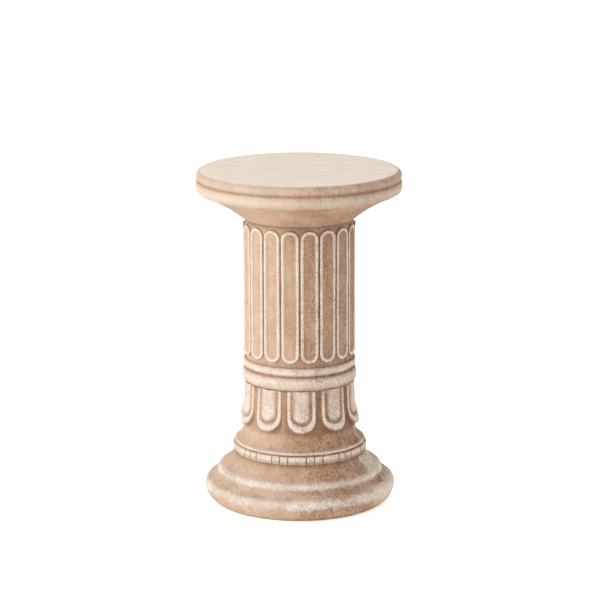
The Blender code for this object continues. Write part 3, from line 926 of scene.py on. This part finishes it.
class StoneNodes:
    """The nodes of the stone's material, made and linked step by step."""

    def __init__(self, tree):
        self.tree = tree
        self.place = tree.nodes.new("ShaderNodeTexCoord").outputs["Object"]

    def noise(self, scale, detail, roughness, stretch=None):
        """Return a noise, stretched along the axes if asked."""
        source = self.place
        if stretch:
            mapping = self.tree.nodes.new("ShaderNodeMapping")
            mapping.inputs["Scale"].default_value = stretch
            self.tree.links.new(source, mapping.inputs["Vector"])
            source = mapping.outputs["Vector"]
        made = self.tree.nodes.new("ShaderNodeTexNoise")
        made.inputs["Scale"].default_value = scale
        made.inputs["Detail"].default_value = detail
        made.inputs["Roughness"].default_value = roughness
        self.tree.links.new(source, made.inputs["Vector"])
        return made.outputs["Fac"]

    def spread(self, value, low, high, to_low=0.0, to_high=1.0):
        """Return a value that goes smoothly from one number to another between two values of its source."""
        made = self.tree.nodes.new("ShaderNodeMapRange")
        made.interpolation_type = "SMOOTHSTEP"
        made.inputs["From Min"].default_value = low
        made.inputs["From Max"].default_value = high
        made.inputs["To Min"].default_value = to_low
        made.inputs["To Max"].default_value = to_high
        self.tree.links.new(value, made.inputs["Value"])
        return made.outputs["Result"]

    def maths(self, kind, first, second):
        """Return the result of a sum on two values or numbers."""
        made = self.tree.nodes.new("ShaderNodeMath")
        made.operation = kind
        for socket, value in zip(made.inputs, (first, second)):
            if isinstance(value, (int, float)):
                socket.default_value = value
            else:
                self.tree.links.new(value, socket)
        return made.outputs["Value"]

    def times(self, first, second):
        """Return two values or numbers multiplied."""
        return self.maths("MULTIPLY", first, second)

    def rest_of(self, value):
        """Return one less a value."""
        return self.maths("SUBTRACT", 1.0, value)

    def mix(self, share, first, second):
        """Return a mix of two colours."""
        made = self.tree.nodes.new("ShaderNodeMix")
        made.data_type = "RGBA"
        self.tree.links.new(share, made.inputs["Factor"])
        for socket, value in ((made.inputs["A"], first), (made.inputs["B"], second)):
            if isinstance(value, tuple):
                socket.default_value = value
            else:
                self.tree.links.new(value, socket)
        return made.outputs["Result"]

    def cover(self, below, share, strength, colour):
        """Lay a colour over what is below, as strongly as a value says."""
        return self.mix(self.times(share, strength), below, colour)

    def layer(self, name):
        """Return a value that the mesh stores on its points."""
        made = self.tree.nodes.new("ShaderNodeAttribute")
        made.attribute_name = name
        return made.outputs["Fac"]


def stone_places(stone):
    """Return the height, how weathered and how washed out a place is, and how far it is on the cap."""
    axes = stone.tree.nodes.new("ShaderNodeSeparateXYZ")
    stone.tree.links.new(stone.place, axes.inputs["Vector"])
    height = axes.outputs["Z"]
    drift = stone.times(stone.maths("SUBTRACT", stone.noise(14, 3.0, 0.6), 0.5), 0.14)
    aside = stone.maths("ADD", axes.outputs["X"], drift)
    weather = stone.spread(aside, -0.045, 0.050)
    washed = stone.spread(aside, -0.100, 0.030, 1.0, 0.0)
    return height, weather, washed, stone.spread(height, 0.440, 0.466)


def stone_ground(stone, height, weather, washed, on_cap, grain, specks):
    """Return the brown ground, washed out at the left, speckled and blotched at the right, with its painted
    shade in the hollows.
    """
    below_cap = stone.rest_of(on_cap)
    coarse = stone.spread(on_cap, 0.0, 1.0, 1.0, 0.55)
    often = stone.times(stone.spread(weather, 0.0, 1.0, 0.32, 1.0), coarse)
    on_shaft = stone.times(stone.spread(height, 0.205, 0.225), below_cap)
    mottle = stone.spread(stone.noise(24, 4.0, 0.62), 0.36, 0.66)
    ground = stone.mix(mottle, GROUND_DARK, GROUND_LIGHT)
    ground = stone.cover(ground, washed, 0.40, WASHED_OUT)
    streaks = stone.spread(stone.noise(150, 3.0, 0.6, (1, 1, 0.05)), 0.45, 0.68)
    ground = stone.cover(ground, stone.times(streaks, below_cap), 0.38, PALE_STREAK)
    ground = stone.cover(ground, stone.times(grain, coarse), 0.66, PALE_GRAIN)
    ground = stone.cover(ground, stone.times(specks, often), 0.88, DARK_SPECK)
    blotches = stone.spread(stone.noise(80, 6.0, 0.78), 0.47, 0.60)
    blotches = stone.times(blotches, stone.spread(on_shaft, 0.0, 1.0, 1.0, 0.45))
    ground = stone.cover(ground, stone.times(blotches, often), 0.72, DARK_BLOTCH)
    dark_streaks = stone.spread(stone.noise(210, 3.0, 0.65, (1, 1, 0.09)), 0.50, 0.68)
    ground = stone.cover(ground, stone.times(dark_streaks, weather), 0.62, DARK_BLOTCH)
    # Painted shade: the hollows and the places under overhangs darkened towards a deep brown
    painted_shade_share = stone.times(stone.layer("painted_shade"), stone.spread(stone.noise(90, 3.0, 0.6), 0.2, 0.7, 0.7, 1.0))
    return stone.mix(painted_shade_share, ground, PAINTED_SHADE_BROWN)


def white_rub(stone, height, on_cap, below):
    """Lay the white over what stands out, patchy below the beads and even on the cap."""
    broad = stone.spread(stone.noise(70, 3.0, 0.6), 0.30, 0.62, 0.74, 1.0)
    patchy = stone.times(broad, stone.spread(stone.noise(420, 3.0, 0.7), 0.30, 0.56, 0.55, 1.0))
    faded = stone.spread(stone.noise(24, 4.0, 0.65), 0.38, 0.58, 0.62, 1.0)
    faded = stone.maths("MAXIMUM", faded, stone.spread(height, 0.066, 0.074))
    patchy = stone.maths("MAXIMUM", stone.times(patchy, faded), stone.times(on_cap, 0.86))
    rubbed = stone.spread(stone.times(stone.layer("rub"), patchy), 0.05, 0.82)
    white = stone.mix(stone.spread(stone.noise(300, 3.0, 0.6), 0.30, 0.70), THIN_WHITE, THICK_WHITE)
    return stone.mix(rubbed, below, white)


def stone_pits(stone, weather, on_cap):
    """Return the fine pits, of which there are more at the right and fewer on the cap."""
    cells = stone.tree.nodes.new("ShaderNodeTexVoronoi")
    cells.inputs["Scale"].default_value = 330
    cells.inputs["Randomness"].default_value = 1.0
    stone.tree.links.new(stone.place, cells.inputs["Vector"])
    clusters = stone.spread(stone.noise(45, 2.0, 0.5), 0.34, 0.56)
    often = stone.times(clusters, stone.spread(weather, 0.0, 1.0, 0.45, 1.0))
    pits = stone.times(stone.spread(cells.outputs["Distance"], 0.16, 0.36, 1.0, 0.0), often)
    return stone.times(pits, stone.rest_of(stone.times(on_cap, 0.7)))


def rough_surface(stone, grain, pits, specks):
    """Return how high the fine surface stands: grainy and pitted, and smoother on the top."""
    rough = stone.maths("ADD", stone.times(grain, 0.45), stone.times(stone.noise(260, 3.0, 0.6), 0.5))
    rough = stone.maths("SUBTRACT", rough, stone.times(pits, 1.1))
    rough = stone.maths("SUBTRACT", rough, stone.times(specks, 0.25))
    return stone.times(rough, stone.spread(stone.layer("top"), 0.0, 1.0, 1.0, 0.12))


def stone_material():
    """Return the cast stone: brown ground, white rub on what stands out, painted shade in hollows, fine pits.
    """
    material = bpy.data.materials.new("cast_stone")
    material.use_nodes = True
    tree = material.node_tree
    shader = tree.nodes["Principled BSDF"]
    shader.inputs["Roughness"].default_value = 0.82
    shader.inputs["Specular IOR Level"].default_value = 0.25
    stone = StoneNodes(tree)
    height, weather, washed, on_cap = stone_places(stone)
    grain = stone.spread(stone.noise(400, 3.0, 0.75), 0.45, 0.60)
    specks = stone.spread(stone.noise(400, 4.0, 0.8), 0.49, 0.60)
    pits = stone_pits(stone, weather, on_cap)
    ground = stone_ground(stone, height, weather, washed, on_cap, grain, specks)
    finish = white_rub(stone, height, on_cap, ground)
    finish = stone.cover(finish, pits, 0.85, PIT_BROWN)
    seam_grain = stone.spread(stone.noise(230, 3.0, 0.7, (1, 1, 0.14)), 0.38, 0.64, 0.30, 1.0)
    finish = stone.cover(finish, stone.times(stone.layer("seam"), seam_grain), 0.85, SEAM_WHITE)
    finish = stone.cover(finish, stone.spread(stone.layer("flaw"), 0.10, 0.85), 0.75, CRACK_BROWN)
    brushed = stone.spread(stone.noise(40, 4.0, 0.6, (0.5, 1.4, 1)), 0.28, 0.74)
    finish = stone.mix(stone.layer("top"), finish, stone.mix(brushed, TOP_SHADE, TOP_LIGHT))
    bump = tree.nodes.new("ShaderNodeBump")
    bump.inputs["Strength"].default_value = 0.60
    bump.inputs["Distance"].default_value = 0.0010
    tree.links.new(finish, shader.inputs["Base Color"])
    tree.links.new(rough_surface(stone, grain, pits, specks), bump.inputs["Height"])
    tree.links.new(bump.outputs["Normal"], shader.inputs["Normal"])
    return material


def cast_column():
    """Model and finish the whole cast."""
    cast = join_cast()
    flaws(cast)
    rub_and_shade_layers(cast)
    hand_cast(cast, strength=0.0009, size=0.035, name="soft_waves")
    hand_cast(cast, strength=0.0004, size=0.009, name="fine_waves")
    keep_size(cast)
    cast.data.materials.clear()
    cast.data.materials.append(stone_material())
    select_only(cast)
    bpy.ops.object.shade_smooth_by_angle(angle=math.radians(50))
    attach(cast, "root")
    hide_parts("pedestal_column")


def studio_floor():
    """Lay the plain pale floor."""
    fresh_scene_selection()
    bpy.ops.mesh.primitive_plane_add(size=FLOOR_SIZE, location=(0, 0, 0))
    floor = bpy.context.object
    floor.name = "studio_floor"
    settle(floor)
    material = bpy.data.materials.new("pale_floor")
    material.use_nodes = True
    shader = material.node_tree.nodes["Principled BSDF"]
    shader.inputs["Base Color"].default_value = (0.93, 0.93, 0.93, 1)
    shader.inputs["Roughness"].default_value = 1.0
    shader.inputs["Specular IOR Level"].default_value = 0.0
    shader.inputs["Emission Color"].default_value = (1, 1, 1, 1)
    shader.inputs["Emission Strength"].default_value = FLOOR_GLOW
    floor.data.materials.append(material)


def soft_light(name, place, aim, size, power, colour):
    """Hang a large soft light that looks at a point."""
    light = bpy.data.lights.new(name, "AREA")
    light.shape = "SQUARE"
    light.size = size
    light.energy = power
    light.color = colour
    lamp = bpy.data.objects.new(name, light)
    bpy.context.scene.collection.objects.link(lamp)
    lamp.location = place
    lamp.rotation_euler = (Vector(place) - Vector(aim)).to_track_quat("Z", "Y").to_euler()


def studio():
    """Set the floor, the white surroundings, the light and the camera."""
    scene = bpy.context.scene
    scene.view_settings.view_transform = "Standard"
    studio_floor()
    world = bpy.data.worlds.new("white_room")
    world.use_nodes = True
    scene.world = world
    surroundings = world.node_tree.nodes["Background"]
    surroundings.inputs["Color"].default_value = (1, 1, 1, 1)
    surroundings.inputs["Strength"].default_value = ROOM_BRIGHTNESS
    soft_light("key", (-2.7, -1.45, 2.1), aim=(0, 0, 0.28), size=1.3, power=72, colour=(1.0, 0.985, 0.965))
    camera_data = bpy.data.cameras.new("camera")
    camera_data.sensor_width = CAMERA_SENSOR
    camera_data.lens = CAMERA_LENS
    camera_data.clip_end = 50
    camera = bpy.data.objects.new("camera", camera_data)
    scene.collection.objects.link(camera)
    camera.location = CAMERA_PLACE
    tilt = Matrix.Rotation(CAMERA_TILT, 3, "X")
    lean = Matrix.Rotation(CAMERA_LEAN, 3, "Z")
    camera.rotation_euler = (tilt @ lean).to_euler()
    scene.camera = camera


cast_column()
studio()
